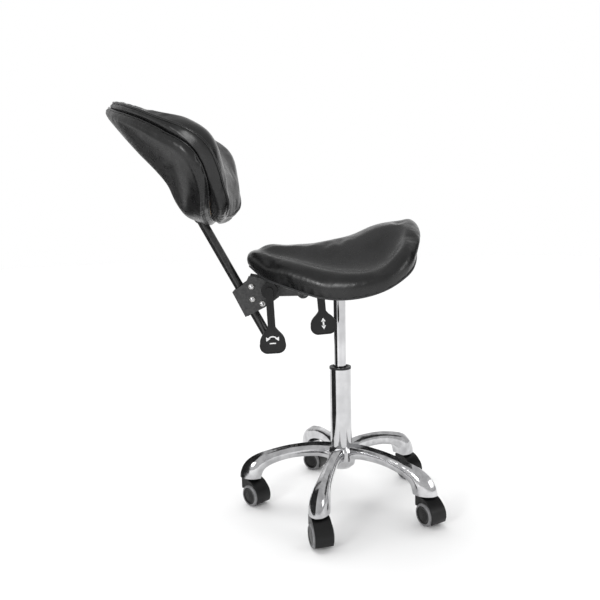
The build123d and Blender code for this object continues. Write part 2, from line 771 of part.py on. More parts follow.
PAD_RISE = PAD_TOP - PAD_BOTTOM + 60
OUTLINE_REACH = 320.0             # longer than the pad is deep, wrap included
MOUNT_LOW = -80.0                 # socket block behind the board, along the pad
MOUNT_HIGH = -12.0
MOUNT_HALF = 20.0
PLATE_HALF = 34.0
PLATE_TOP = 40.0
PAD_SCREWS = ((-24.0, 26.0), (24.0, 26.0), (-24.0, -62.0), (24.0, -62.0))
COVER_SCREW = (0.0, 2.0)          # through the cover into the mount plate
COVER_SCREW_HEAD = -6.5
COVER_SCREW_R = 2.4


def pad_plane(depth):
    """Plane facing out of the pad; its local axes are Y and the pad's length."""
    return Plane(origin=PAD_ORIGIN + pad_out * depth, x_dir=(0, 1, 0), z_dir=pad_out)


with BuildPart() as pad_mount:
    # flat plate on the board with a welded socket that takes the post
    with BuildSketch(pad_plane(BOARD_BACK - 3.5)):
        with Locations((0, (MOUNT_LOW + PLATE_TOP) / 2)):
            RectangleRounded(2 * PLATE_HALF, PLATE_TOP - MOUNT_LOW, 6)
        with Locations(*PAD_SCREWS):
            Circle(2.6, mode=Mode.SUBTRACT)
        with Locations(COVER_SCREW):
            Circle(COVER_SCREW_R + 0.1, mode=Mode.SUBTRACT)
    extrude(amount=3.0)
    with BuildSketch(pad_plane(COVER_BACK + 4.0)):
        with Locations((0, (MOUNT_LOW + MOUNT_HIGH) / 2)):
            RectangleRounded(2 * MOUNT_HALF, MOUNT_HIGH - MOUNT_LOW, 4)
    extrude(amount=BOARD_BACK - 3.0 - COVER_BACK - 4.0)
    with BuildSketch(post_plane(200)):
        Circle(POST_R)
    extrude(amount=POST_LENGTH - 200, mode=Mode.SUBTRACT)
save(pad_mount, "pad_mount")

with BuildPart() as back_board:
    extrude(pad_layer(BOARD_BACK, BOARD_FRONT), amount=PAD_RISE, dir=pad_up)
    extrude(pad_outline(COVER_OUTLINE, inset=12), amount=OUTLINE_REACH, dir=pad_out, mode=Mode.INTERSECT)
    # flat seat for the mount plate
    with BuildSketch(pad_plane(-10)):
        with Locations((0, (MOUNT_LOW + PLATE_TOP) / 2)):
            Rectangle(2 * PLATE_HALF + 2, PLATE_TOP - MOUNT_LOW + 2)
    extrude(amount=9.6 + BOARD_BACK, mode=Mode.SUBTRACT)
    with BuildSketch(pad_plane(BOARD_BACK - 1)):
        with Locations(*PAD_SCREWS):
            Circle(2.6)
    extrude(amount=12, mode=Mode.SUBTRACT)
save(back_board, "back_board")


def cushion_step(inset, front):
    """Curved slab inside the cushion's outline, from its back to this depth."""
    with BuildPart() as slab:
        extrude(pad_layer(CUSHION_BACK, front), amount=PAD_RISE, dir=pad_up)
        extrude(
            pad_outline(CUSHION_OUTLINE, inset=inset),
            amount=OUTLINE_REACH,
            dir=pad_out,
            mode=Mode.INTERSECT,
        )
    return slab.part


cushion_slabs = [cushion_step(inset, front) for inset, front in CUSHION_STEPS]

with BuildPart() as front_cushion:
    for slab in cushion_slabs:
        add(slab)
save(front_cushion, "front_cushion")

with BuildPart() as back_cover:
    extrude(pad_layer(COVER_BACK, COVER_FRONT), amount=PAD_RISE, dir=pad_up)
    extrude(pad_outline(COVER_OUTLINE), amount=OUTLINE_REACH, dir=pad_out, mode=Mode.INTERSECT)
    # pocket for the mount plate and its socket, open below for the post
    with BuildSketch(pad_plane(BOARD_BACK - 4.5)):
        with Locations((0, (MOUNT_LOW + PLATE_TOP) / 2)):
            Rectangle(2 * PLATE_HALF + 2, PLATE_TOP - MOUNT_LOW + 2)
    extrude(amount=20, mode=Mode.SUBTRACT)
    with BuildSketch(pad_plane(COVER_BACK + 3.0)):
        with Locations((0, (MOUNT_LOW + MOUNT_HIGH) / 2)):
            Rectangle(2 * MOUNT_HALF + 2, MOUNT_HIGH - MOUNT_LOW + 6)
    extrude(amount=40, mode=Mode.SUBTRACT)
    with BuildSketch(post_plane(200)):
        Circle(POST_R + 0.8)
    extrude(amount=POST_LENGTH - 198, mode=Mode.SUBTRACT)
    # hole and recess for the cover screw
    with BuildSketch(pad_plane(COVER_BACK - 1)):
        with Locations(COVER_SCREW):
            Circle(COVER_SCREW_R + 0.1)
    extrude(amount=40, mode=Mode.SUBTRACT)
    with BuildSketch(pad_plane(COVER_BACK - 1)):
        with Locations(COVER_SCREW):
            Circle(5.0)
    extrude(amount=COVER_SCREW_HEAD + 4.0 - COVER_BACK + 1, mode=Mode.SUBTRACT)
save(back_cover, "back_cover")

with BuildPart() as pad_screws:
    with BuildSketch(pad_plane(BOARD_BACK - 3.5)):
        with Locations(*PAD_SCREWS):
            Circle(2.5)
    extrude(amount=10)
    with BuildSketch(pad_plane(COVER_SCREW_HEAD)):
        with Locations(COVER_SCREW):
            Circle(4.5)
    extrude(amount=3.5)
    with BuildSketch(pad_plane(COVER_SCREW_HEAD + 3.5)):
        with Locations(COVER_SCREW):
            Circle(COVER_SCREW_R)
    extrude(amount=BOARD_BACK - 0.5 - COVER_SCREW_HEAD - 3.5)
save(pad_screws, "pad_screws")

# ---------------------------------------------------------------- casters
HOOD_R = 29.0
HOOD_IN_R = 26.4
HOOD_FRONT = -13.0
WEB_HALF = 5.0
HUB_R = WHEEL_R - TREAD_THICK
AXLE_HALF = 21.0
HOOD_HALF = 19.5                  # the wheels stand out of the hood on both sides

HOOD_WALL_END = -30.0             # where the hood ends behind the wheels, degrees round the axle
HOOD_WALL_START = 153.0
STEM_HOLE_BOTTOM = 38.0
WEB_BOTTOM = 12.0


def round_axle(radius, degrees):
    """Point beside the wheel, at this radius and angle from the axle."""
    angle = math.radians(degrees)
    return (TRAIL + radius * math.cos(angle), WHEEL_R + radius * math.sin(angle))


# One caster about its own stem: trailing along +X, standing on the floor at Z = 0.
with BuildPart() as hood_form:
    with BuildSketch(Plane.XZ):
        with BuildLine():
            FilletPolyline(
                round_axle(HOOD_IN_R, HOOD_WALL_START),
                (HOOD_FRONT, 37.0),
                (HOOD_FRONT, HOOD_TOP),
                (9.0, HOOD_TOP),
                radius=2.5,
            )
            Spline(
                (9.0, HOOD_TOP),
                round_axle(HOOD_R + 0.8, 55),
                round_axle(HOOD_R, 0),
                tangents=((1, -0.1), (0, -1)),
            )
            ThreePointArc(
                round_axle(HOOD_R, 0),
                round_axle(HOOD_R, HOOD_WALL_END / 2),
                round_axle(HOOD_R, HOOD_WALL_END),
            )
            Line(round_axle(HOOD_R, HOOD_WALL_END), round_axle(HOOD_IN_R, HOOD_WALL_END))
            ThreePointArc(
                round_axle(HOOD_IN_R, HOOD_WALL_END),
                round_axle(HOOD_IN_R, 64),
                round_axle(HOOD_IN_R, HOOD_WALL_START),
            )
        make_face()
    extrude(amount=HOOD_HALF, both=True)
    # web between the wheels, which holds the axle
    with BuildSketch(Plane.XZ):
        with Locations((TRAIL, WHEEL_R)):
            Circle(HOOD_IN_R + 0.5)
            Rectangle(3 * WHEEL_R, 2 * (WHEEL_R - WEB_BOTTOM), mode=Mode.INTERSECT)
        with Locations((TRAIL - 5, HOOD_TOP - 13)):
            Rectangle(20, 12)
    extrude(amount=WEB_HALF, both=True)
    with BuildSketch(Plane.XY.offset(STEM_HOLE_BOTTOM - 3)):
        Circle(8.6)
    extrude(amount=HOOD_TOP - STEM_HOLE_BOTTOM + 1)
    with BuildSketch(Plane.XY.offset(STEM_HOLE_BOTTOM)):
        Circle(STEM_R + RUNNING_GAP)
    extrude(amount=HOOD_TOP, mode=Mode.SUBTRACT)
    with BuildSketch(Plane.XZ):
        with Locations((TRAIL, WHEEL_R)):
            Circle(AXLE_R)
    extrude(amount=WEB_HALF + 1, both=True, mode=Mode.SUBTRACT)

with BuildPart() as axle_form:
    with BuildSketch(Plane.XZ):
        with Locations((TRAIL, WHEEL_R)):
            Circle(AXLE_R)
    extrude(amount=AXLE_HALF, both=True)

# Wheel and tread for the +Y side, turned about the axle
wheel_axis = Axis((TRAIL, 0, WHEEL_R), (0, 1, 0))
with BuildPart() as wheel_form:
    with BuildSketch(Plane.XY.offset(WHEEL_R)):
        with BuildLine():
            Polyline(
                (TRAIL + AXLE_R + RUNNING_GAP, WHEEL_IN - 3.5),
                (TRAIL + 6.0, WHEEL_IN - 3.5),
                (TRAIL + 6.5, WHEEL_IN + 1.0),
                (TRAIL + HUB_R - 2, WHEEL_IN + 1.0),
                (TRAIL + HUB_R, WHEEL_IN + 0.5),
                (TRAIL + HUB_R, WHEEL_OUT - 1.2),
                (TRAIL + HUB_R - 1.2, WHEEL_OUT - 0.4),
                (TRAIL + 14.0, WHEEL_OUT - 1.6),
                (TRAIL, WHEEL_OUT - 0.6),
                (TRAIL, AXLE_HALF + 0.2),
                (TRAIL + AXLE_R + RUNNING_GAP, AXLE_HALF + 0.2),
                close=True,
            )
        make_face()
    revolve(axis=wheel_axis)

with BuildPart() as tread_form:
    with BuildSketch(Plane.XY.offset(WHEEL_R)):
        with BuildLine():
            Polyline(
                (TRAIL + HUB_R, WHEEL_IN + 0.5),
                (TRAIL + WHEEL_R - 1.5, WHEEL_IN),
                (TRAIL + WHEEL_R, WHEEL_IN + 2.0),
                (TRAIL + WHEEL_R, WHEEL_OUT - 5.0),
                (TRAIL + WHEEL_R - 0.8, WHEEL_OUT - 2.4),
                (TRAIL + WHEEL_R - 2.6, WHEEL_OUT - 0.7),
                (TRAIL + WHEEL_R - 4.0, WHEEL_OUT),
                (TRAIL + HUB_R, WHEEL_OUT - 0.4),
                close=True,
            )
        make_face()
    revolve(axis=wheel_axis)

for index in range(ARM_COUNT):
    angle = math.radians(arm_angle(index))
    stem = (SOCKET_RADIUS * math.cos(angle), SOCKET_RADIUS * math.sin(angle), 0)
    trail = math.radians(CASTER_TRAIL_DEG[index])
    here = Plane(origin=stem, x_dir=(math.cos(trail), math.sin(trail), 0), z_dir=(0, 0, 1))
    pieces = {
        "hood": hood_form.part,
        "axle": axle_form.part,
        "left_wheel": wheel_form.part,
        "left_tread": tread_form.part,
        "right_wheel": wheel_form.part.mirror(Plane.XZ),
        "right_tread": tread_form.part.mirror(Plane.XZ),
    }
    for name, form in pieces.items():
        placed = here.location * form
        with BuildPart() as caster_piece:
            add(placed)
        save(caster_piece, f"caster_{index + 1}_{name}")
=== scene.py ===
"""Looks of the rolling stylist stool: upholstery, trim, printed marks, materials, studio and camera.

Metres, in the frame of the CAD model: +Z up, origin on the floor under the column, the back pad
on the -X side and the control levers on the -Y side.
"""
import json
import math

import bmesh
import bpy
from mathutils import Matrix, Vector
from mathutils.bvhtree import BVHTree
from mathutils.geometry import intersect_point_line
from mathutils.kdtree import KDTree


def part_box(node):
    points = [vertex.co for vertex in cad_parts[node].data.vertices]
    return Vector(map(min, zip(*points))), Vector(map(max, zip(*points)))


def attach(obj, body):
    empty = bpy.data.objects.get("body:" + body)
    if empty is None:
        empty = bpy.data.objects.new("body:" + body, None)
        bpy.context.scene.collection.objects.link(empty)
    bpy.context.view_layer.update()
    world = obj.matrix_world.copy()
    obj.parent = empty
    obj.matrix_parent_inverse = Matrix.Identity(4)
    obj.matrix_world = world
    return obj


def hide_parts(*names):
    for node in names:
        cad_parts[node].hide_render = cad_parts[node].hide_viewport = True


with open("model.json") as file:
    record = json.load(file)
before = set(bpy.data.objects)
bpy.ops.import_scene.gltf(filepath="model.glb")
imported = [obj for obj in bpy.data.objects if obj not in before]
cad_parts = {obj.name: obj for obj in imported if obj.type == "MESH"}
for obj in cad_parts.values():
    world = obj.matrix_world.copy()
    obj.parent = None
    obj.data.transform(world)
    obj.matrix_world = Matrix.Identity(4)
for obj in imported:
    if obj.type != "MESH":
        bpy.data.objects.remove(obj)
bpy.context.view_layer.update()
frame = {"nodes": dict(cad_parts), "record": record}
MM = 0.001


# ---------------------------------------------------------------- small helpers
def smoothstep(low, high, value):
    """0 below low, 1 above high, smooth between."""
    t = min(1.0, max(0.0, (value - low) / (high - low)))
    return t * t * (3 - 2 * t)


def mix(a, b, t):
    return a + (b - a) * t


def curve_through(points, value):
    """Smooth curve through (position, height) points, read at one position."""
    if value <= points[0][0]:
        return points[0][1]
    if value >= points[-1][0]:
        return points[-1][1]
    index = 0
    while points[index + 1][0] < value:
        index += 1
    x0, y0 = points[index]
    x1, y1 = points[index + 1]
    before = points[max(index - 1, 0)]
    after = points[min(index + 2, len(points) - 1)]
    slope0 = (y1 - before[1]) / (x1 - before[0])
    slope1 = (after[1] - y0) / (after[0] - x0)
    t = (value - x0) / (x1 - x0)
    span = x1 - x0
    return (
        (2 * t**3 - 3 * t**2 + 1) * y0
        + (t**3 - 2 * t**2 + t) * span * slope0
        + (3 * t**2 - 2 * t**3) * y1
        + (t**3 - t**2) * span * slope1
    )


def closed_curve(points, count):
    """Evenly spaced points on a smooth closed curve through flat (a, b) points."""
    dense = []
    total = len(points)
    for index in range(total):
        p0, p1, p2, p3 = (Vector(points[(index + k - 1) % total]) for k in range(4))
        for step in range(24):
            t = step / 24
            dense.append(
                0.5 * (2 * p1 + (p2 - p0) * t + (2 * p0 - 5 * p1 + 4 * p2 - p3) * t**2
                       + (3 * p1 - p0 - 3 * p2 + p3) * t**3)
            )
    lengths = [0.0]
    for index, point in enumerate(dense):
        lengths.append(lengths[-1] + (dense[(index + 1) % len(dense)] - point).length)
    result = []
    index = 0
    for step in range(count):
        wanted = lengths[-1] * step / count
        while lengths[index + 1] < wanted:
            index += 1
        t = (wanted - lengths[index]) / (lengths[index + 1] - lengths[index])
        result.append(dense[index].lerp(dense[(index + 1) % len(dense)], t))
    return result


def add_object(name, mesh, material):
    piece = bpy.data.objects.new(name, mesh)
    bpy.context.scene.collection.objects.link(piece)
    mesh.materials.append(material)
    return piece


def shade_smooth(mesh):
    mesh.polygons.foreach_set("use_smooth", [True] * len(mesh.polygons))


def mesh_from_rings(name, rings):
    """Mesh of quads between closed rings of points; a ring drawn together closes its end."""
    mesh = bpy.data.meshes.new(name)
    form = bmesh.new()
    rows = [[form.verts.new(point) for point in ring] for ring in rings]
    count = len(rings[0])
    for lower, upper in zip(rows, rows[1:]):
        for i in range(count):
            j = (i + 1) % count
            form.faces.new((lower[i], lower[j], upper[j], upper[i]))
    bmesh.ops.remove_doubles(form, verts=form.verts, dist=0.3 * MM)
    bmesh.ops.recalc_face_normals(form, faces=form.faces)
    form.to_mesh(mesh)
    form.free()
    shade_smooth(mesh)
    return mesh


def tube_along(name, points, radius, flat=1.0, around=10):
    """Closed tube of this radius along a closed loop of points; flat squeezes it along Z."""
    rings = []
    count = len(points)
    for index, point in enumerate(points):
        along = (points[(index + 1) % count] - points[index - 1]).normalized()
        side = along.cross(Vector((0, 0, 1)))
        side = side.normalized() if side.length > 0.05 else Vector((0, 1, 0))
        up = side.cross(along).normalized()
        ring = []
        for k in range(around):
            turn = 2 * math.pi * k / around
            ring.append(point + side * radius * math.cos(turn) + up * radius * flat * math.sin(turn))
        rings.append(ring)
    rings.append(rings[0])
    return mesh_from_rings(name, rings)


# ---------------------------------------------------------------- materials
def new_material(name, color, roughness, metallic=0.0, specular=0.5):
    """Principled material, with the nodes that every finish here builds on."""
    material = bpy.data.materials.new(name)
    material.use_nodes = True
    shader = material.node_tree.nodes["Principled BSDF"]
    shader.inputs["Base Color"].default_value = (*color, 1)
    shader.inputs["Roughness"].default_value = roughness
    shader.inputs["Metallic"].default_value = metallic
    shader.inputs["Specular IOR Level"].default_value = specular
    return material


def node(material, kind, **values):
    made = material.node_tree.nodes.new(kind)
    for key, value in values.items():
        if key in made.inputs:
            made.inputs[key].default_value = value
        else:
            setattr(made, key, value)
    return made


def link(material, source, target):
    material.node_tree.links.new(source, target)


def object_space(material, stretch=(1, 1, 1)):
    """Coordinates in metres, stretched for brushed or drawn finishes."""
    place = node(material, "ShaderNodeTexCoord")
    scaled = node(material, "ShaderNodeMapping")
    scaled.inputs["Scale"].default_value = stretch
    link(material, place.outputs["Object"], scaled.inputs["Vector"])
    return scaled.outputs["Vector"]


def noise(material, size, detail=3.0, stretch=(1, 1, 1), roughness=0.5):
    """Noise whose lumps are about size metres across."""
    made = node(material, "ShaderNodeTexNoise")
    made.inputs["Scale"].default_value = 1.0 / size
    made.inputs["Detail"].default_value = detail
    made.inputs["Roughness"].default_value = roughness
    link(material, object_space(material, stretch), made.inputs["Vector"])
    return made.outputs["Fac"]


def vary(material, socket, source, low, high, start=0.35, end=0.65):
    """Drive a shader's roughness or another number from a texture, between low and high."""
    span = node(material, "ShaderNodeMapRange")
    span.inputs["From Min"].default_value = start
    span.inputs["From Max"].default_value = end
    span.inputs["To Min"].default_value = low
    span.inputs["To Max"].default_value = high
    link(material, source, span.inputs["Value"])
    shader = material.node_tree.nodes["Principled BSDF"]
    link(material, span.outputs["Result"], shader.inputs[socket])


def tint(material, source, dark, light, start=0.35, end=0.65):
    """Colour that wanders between two shades with a texture."""
    ramp = node(material, "ShaderNodeValToRGB")
    ramp.color_ramp.elements[0].position = start
    ramp.color_ramp.elements[0].color = (*dark, 1)
    ramp.color_ramp.elements[1].position = end
    ramp.color_ramp.elements[1].color = (*light, 1)
    link(material, source, ramp.inputs["Fac"])
    shader = material.node_tree.nodes["Principled BSDF"]
    link(material, ramp.outputs["Color"], shader.inputs["Base Color"])


def bump(material, layers):
    """Stack of (texture, strength, height in metres) bumps."""
    shader = material.node_tree.nodes["Principled BSDF"]
    below = None
    for source, strength, height in layers:
        made = node(material, "ShaderNodeBump")
        made.inputs["Strength"].default_value = strength
        made.inputs["Distance"].default_value = height
        link(material, source, made.inputs["Height"])
        if below is not None:
            link(material, below, made.inputs["Normal"])
        below = made.outputs["Normal"]
    link(material, below, shader.inputs["Normal"])


def leather(name, smooth=0.25, dull=0.36):
    """Black upholstery leather: pebbled grain, soft sheen, slightly uneven gloss."""
    material = new_material(name, (0.009, 0.009, 0.0095), 0.33, specular=0.42)
    cells = node(material, "ShaderNodeTexVoronoi", feature="DISTANCE_TO_EDGE")
    cells.inputs["Scale"].default_value = 620.0
    cells.inputs["Randomness"].default_value = 0.9
    link(material, object_space(material), cells.inputs["Vector"])
    pebble = node(material, "ShaderNodeMapRange")
    pebble.inputs["From Max"].default_value = 0.22
    link(material, cells.outputs["Distance"], pebble.inputs["Value"])
    creases = noise(material, 0.0045, detail=5.0)
    swell = noise(material, 0.05, detail=2.0)
    bump(material, (
        (swell, 0.25, 1.2 * MM),
        (creases, 0.12, 0.35 * MM),
        (pebble.outputs["Result"], 0.2, 0.1 * MM),
    ))
    tint(material, noise(material, 0.03, detail=6.0), (0.005, 0.005, 0.0052), (0.009, 0.009, 0.0094))
    vary(material, "Roughness", noise(material, 0.018, detail=6.0), smooth, dull)
    shader = material.node_tree.nodes["Principled BSDF"]
    shader.inputs["Sheen Weight"].default_value = 0.04
    shader.inputs["Sheen Roughness"].default_value = 0.4
    return material


def polished_aluminium():
    """Mirror-polished casting with the faint waves and cloudiness of hand buffing."""
    material = new_material("polished_aluminium", (0.66, 0.66, 0.67), 0.12, metallic=1.0)
    tint(material, noise(material, 0.02, detail=7.0), (0.42, 0.42, 0.43), (0.6, 0.6, 0.61), 0.3, 0.6)
    vary(material, "Roughness", noise(material, 0.012, detail=8.0), 0.07, 0.19)
    waves = noise(material, 0.022, detail=2.0)
    scratches = noise(material, 0.0035, detail=5.0, stretch=(1, 1, 5))
    bump(material, ((waves, 0.3, 1.0 * MM), (scratches, 0.05, 0.12 * MM)))
    return material


def chrome():
    """Bright chrome plate with faint polishing rings round the column."""
    material = new_material("chrome_plate", (0.66, 0.66, 0.67), 0.07, metallic=1.0)
    tint(material, noise(material, 0.03, detail=6.0), (0.5, 0.5, 0.51), (0.6, 0.6, 0.61))
    vary(material, "Roughness", noise(material, 0.015, detail=7.0), 0.04, 0.12)
    rings = noise(material, 0.002, detail=3.0, stretch=(0.15, 0.15, 1))
    bump(material, ((rings, 0.04, 0.05 * MM),))
    return material


def plated_steel(name, base, low, high):
    """Zinc plate or ground steel: fine scratches and a slightly blotchy colour."""
    material = new_material(name, base, low, metallic=1.0)
    darker = tuple(value * 0.75 for value in base)
    tint(material, noise(material, 0.004, detail=6.0), darker, base)
    vary(material, "Roughness", noise(material, 0.003, detail=7.0), low, high)
    bump(material, ((noise(material, 0.0012, detail=4.0, stretch=(3, 3, 1)), 0.15, 0.08 * MM),))
    return material


def worn_paint(name, paint, bare, roughness, peel):
    """Paint with orange peel, rubbed slightly brighter along its edges."""
    material = new_material(name, paint, roughness)
    shape = node(material, "ShaderNodeNewGeometry")
    edges = node(material, "ShaderNodeMapRange")
    edges.inputs["From Min"].default_value = 0.53
    edges.inputs["From Max"].default_value = 0.62
    link(material, shape.outputs["Pointiness"], edges.inputs["Value"])
    patchy = node(material, "ShaderNodeMath", operation="MULTIPLY")
    link(material, edges.outputs["Result"], patchy.inputs[0])
    link(material, noise(material, 0.006, detail=6.0), patchy.inputs[1])
    tint(material, patchy.outputs["Value"], paint, bare, 0.25, 0.7)
    vary(material, "Roughness", noise(material, 0.01, detail=6.0), roughness * 0.8, roughness * 1.25)
    bump(material, ((noise(material, peel, detail=2.0), 0.15, 0.12 * MM),))
    return material


def moulded_plastic(name, color, roughness, grain, depth):
    """Moulded plastic with a fine spark-eroded grain and slightly uneven gloss."""
    material = new_material(name, color, roughness, specular=0.3)
    lighter = tuple(value * 1.35 for value in color)
    tint(material, noise(material, 0.02, detail=5.0), color, lighter)
    vary(material, "Roughness", noise(material, 0.008, detail=6.0), roughness * 0.85, roughness * 1.15)
    bump(material, ((noise(material, grain, detail=3.0), 0.3, depth),))
    return material


def soft_tread():
    """Grey polyurethane, scuffed where it rolls."""
    material = new_material("grey_tread", (0.2, 0.2, 0.205), 0.55)
    tint(material, noise(material, 0.006, detail=7.0), (0.155, 0.155, 0.16), (0.235, 0.235, 0.24))
    vary(material, "Roughness", noise(material, 0.004, detail=6.0), 0.45, 0.7)
    bump(material, ((noise(material, 0.0012, detail=4.0), 0.25, 0.1 * MM),))
    return material


def plywood():
    """Bare moulded plywood with grain along the board."""
    material = new_material("plywood", (0.5, 0.36, 0.22), 0.6)
    grain = noise(material, 0.004, detail=6.0, stretch=(1, 0.08, 1))
    tint(material, grain, (0.36, 0.24, 0.13), (0.58, 0.43, 0.27))
    bump(material, ((grain, 0.3, 0.2 * MM),))
    return material


def print_white():
    """Pad-printed white mark, slightly thin in places."""
    material = new_material("print_white", (0.75, 0.75, 0.75), 0.5)
    tint(material, noise(material, 0.0015, detail=5.0), (0.5, 0.5, 0.5), (0.82, 0.82, 0.82), 0.3, 0.5)
    bump(material, ((noise(material, 0.0008, detail=3.0), 0.2, 0.05 * MM),))
    return material


SEAT_LEATHER = leather("seat_leather")
PAD_LEATHER = leather("pad_leather")
PIPING_LEATHER = leather("piping_leather", 0.16, 0.26)
BLACK_SHELL = moulded_plastic("black_shell", (0.02, 0.02, 0.021), 0.45, 0.0009, 0.12 * MM)
FINISHES = {
    "polished_aluminium": polished_aluminium(),
    "chrome_column": chrome(),
    "zinc_steel": plated_steel("zinc_steel", (0.6, 0.59, 0.57), 0.14, 0.26),
    "bright_steel": plated_steel("bright_steel", (0.6, 0.6, 0.61), 0.18, 0.32),
    "black_painted_steel": worn_paint(
        "black_painted_steel", (0.012, 0.012, 0.013), (0.05, 0.05, 0.05), 0.4, 0.0016
    ),
    "black_gloss_tube": worn_paint(
        "black_gloss_tube", (0.006, 0.006, 0.0065), (0.03, 0.03, 0.03), 0.14, 0.004
    ),
    "black_collar": moulded_plastic("black_collar", (0.016, 0.016, 0.017), 0.4, 0.0011, 0.1 * MM),
    "black_shell": BLACK_SHELL,
    "lever_plastic": moulded_plastic("lever_plastic", (0.006, 0.006, 0.0062), 0.22, 0.0012, 0.04 * MM),
    "caster_plastic": moulded_plastic("caster_plastic", (0.004, 0.004, 0.0042), 0.34, 0.001, 0.08 * MM),
    "wheel_plastic": moulded_plastic("wheel_plastic", (0.003, 0.003, 0.0032), 0.3, 0.001, 0.08 * MM),
    "grey_tread": soft_tread(),
    "plywood": plywood(),
    "seat_leather": SEAT_LEATHER,
    "pad_leather": PAD_LEATHER,
}
for row in frame["record"]["subparts"]:
    part = frame["nodes"][row["node"]]
    part.data.materials.clear()
    part.data.materials.append(FINISHES[row["material_slot"]])


# ---------------------------------------------------------------- stuffing
def stuff(piece, voxel, pressure, cap, keep_still):
    """Remesh a closed form, let air pressure fill it, and keep each point within cap of its place.

    keep_still(point) is 1 where the cover is held down and 0 where it is free.
    """
    remesh = piece.modifiers.new("remesh", "REMESH")
    remesh.mode = "VOXEL"
    remesh.voxel_size = voxel
    shaped = bpy.data.meshes.new_from_object(piece.evaluated_get(bpy.context.evaluated_depsgraph_get()))
    piece.modifiers.clear()
    piece.data = shaped
    rest = [vertex.co.copy() for vertex in shaped.vertices]
    cloth = piece.modifiers.new("stuffing", "CLOTH")
    cloth.settings.quality = 4
    cloth.settings.mass = 0.4
    cloth.settings.tension_stiffness = 25
    cloth.settings.compression_stiffness = 25
    cloth.settings.bending_stiffness = 3
    cloth.settings.use_pressure = True
    cloth.settings.uniform_pressure_force = pressure
    cloth.settings.effector_weights.gravity = 0
    scene = bpy.context.scene
    for tick in range(1, 21):
        scene.frame_set(tick)
        bpy.context.evaluated_depsgraph_get().update()
    filled = piece.evaluated_get(bpy.context.evaluated_depsgraph_get()).to_mesh()
    for vertex, old, new in zip(shaped.vertices, rest, filled.vertices):
        shift = new.co - old
        limit = cap * (1 - keep_still(old))
        if shift.length > limit:
            shift *= limit / shift.length
        vertex.co = old + shift
    piece.modifiers.clear()
    scene.frame_set(1)
    smooth_points(shaped, 12)
    shade_smooth(shaped)


def smooth_points(mesh, rounds):
    """Relax the mesh without shrinking it."""
    form = bmesh.new()
    form.from_mesh(mesh)
    for index in range(rounds):
        factor = 0.5 if index % 2 == 0 else -0.47
        moved = {}
        for vertex in form.verts:
            around = [edge.other_vert(vertex).co for edge in vertex.link_edges]
            centre = sum(around, Vector()) / len(around)
            moved[vertex] = vertex.co + (centre - vertex.co) * factor
        for vertex, place in moved.items():
            vertex.co = place
    form.to_mesh(mesh)
    form.free()


def subdivide(piece):
    """One level of subdivision, applied."""
    finer = piece.modifiers.new("subdivision", "SUBSURF")
    finer.levels = 1
    finer.render_levels = 1
    mesh = bpy.data.meshes.new_from_object(piece.evaluated_get(bpy.context.evaluated_depsgraph_get()))
    piece.modifiers.clear()
    piece.data = mesh
    shade_smooth(mesh)


# ---------------------------------------------------------------- saddle seat
# X, half width, ridge height, height of the rim, height of the side roll over the rim, and how
# far out the roll's crest is; millimetres
SEAT_STATIONS = (
    (-211, 0, 614, 563, 39, 0.64),
    (-207, 30, 614, 562, 40, 0.64),
    (-190, 60, 614, 553, 44, 0.62),
    (-160, 88, 614, 538, 50, 0.58),
    (-100, 124, 614, 519, 57, 0.66),
    (-40, 154, 616, 504, 57, 0.73),
    (20, 176, 627, 505, 49, 0.85),
    (80, 184, 651, 521, 44, 0.86),
    (128, 167, 664, 548, 62, 0.72),
    (153, 132, 666, 570, 64, 0.62),
    (168, 88, 667, 587, 65, 0.58),
    (181, 0, 667, 598, 69, 0.58),
)
RIDGE_START = -150.0              # between these the section runs square to the ridge
RIDGE_END = 118.0
WIDEST_PART = 0.34                # height of the widest line, as a part of the side roll
WIDEST_AT_ENDS = 0.52             # the same at the nose and the tail
UNDERSIDE_LOW = 558.0             # the closed underside stays hidden above the pan
UNDERSIDE_RISE = 22.0
TOP_STEPS = 12
ROLL_STEPS = 8


def seat_value(column, x):
    return curve_through([(row[0], row[column]) for row in SEAT_STATIONS], x)


def seat_outline(count):
    """Plan outline of the seat, evenly spaced."""
    right = [(row[0], row[1]) for row in SEAT_STATIONS]
    left = [(row[0], -row[1]) for row in reversed(SEAT_STATIONS[1:-1])]
    return closed_curve(right + left, count)


def spine_x(x):
    """Where on the ridge the section through this outline point starts."""
    return min(max(x, RIDGE_START), RIDGE_END)


def seat_rise(toward, across):
    """Height of the seat's top between its crest line, 0, and its ridge, 1."""
    flank = mix(0.5 + 0.5 * math.cos(math.pi * toward), 1 - toward, 0.1)
    return mix(1 - toward**2, flank, smoothstep(0.15, 0.95, across))


def end_tuck(x):
    """How far the side roll is drawn in under the seat: 1 at the nose and the tail, 0 between."""
    return max(smoothstep(150.0, 206.0, -x), smoothstep(140.0, 176.0, x))


def seat_point(outline_point, out, height):
    """Point of a ring: out is 1 on the outline and 0 on the ridge; height is in millimetres."""
    place = Vector((spine_x(outline_point.x), 0)).lerp(outline_point, out)
    return Vector((place.x * MM, place.y * MM, height * MM))


